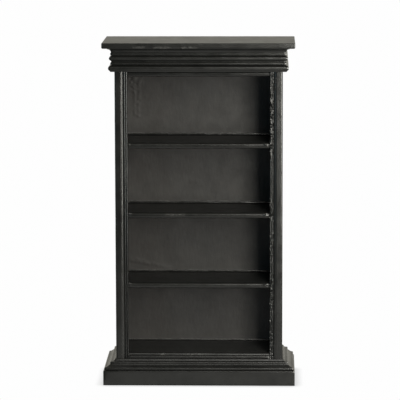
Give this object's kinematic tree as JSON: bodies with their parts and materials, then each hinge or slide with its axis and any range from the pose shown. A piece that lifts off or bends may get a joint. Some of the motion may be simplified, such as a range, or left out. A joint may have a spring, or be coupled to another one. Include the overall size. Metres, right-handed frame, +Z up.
{
  "type": "miniature bookcase",
  "caption": "Open-fronted dolls house bookcase in black painted wood, with fixed round-nosed shelves, moulded stiles, a reeded cornice and a stepped plinth.",
  "frame": {"origin": "on the ground, in the middle of the footprint", "axes": "+Z up the height; the open front faces -Y and the flat back faces +Y; +X to the right seen from the front"},
  "size_m": [0.0994, 0.0448, 0.178],
  "materials": {
    "moulding_paint": "satin black paint, slightly pooled in the grooves",
    "board_paint": "smooth satin black paint",
    "back_panel_paint": "thin black paint, satin, brushed up and down over fine grain"
  },
  "bodies": {
    "root": {"stile_left": "moulding_paint", "stile_right": "moulding_paint", "header_rail": "moulding_paint", "base_rail": "moulding_paint", "cornice_front": "moulding_paint", "cornice_left": "moulding_paint", "cornice_right": "moulding_paint", "base_moulding_front": "moulding_paint", "base_moulding_left": "moulding_paint", "base_moulding_right": "moulding_paint", "plinth_front": "moulding_paint", "plinth_left": "moulding_paint", "plinth_right": "moulding_paint", "top_board": "board_paint", "case_top": "board_paint", "shelf_upper": "board_paint", "shelf_middle": "board_paint", "shelf_lower": "board_paint", "floor_board": "board_paint", "side_panel_left": "board_paint", "side_panel_right": "board_paint", "back_panel": "back_panel_paint"}
  },
  "joints": []
}
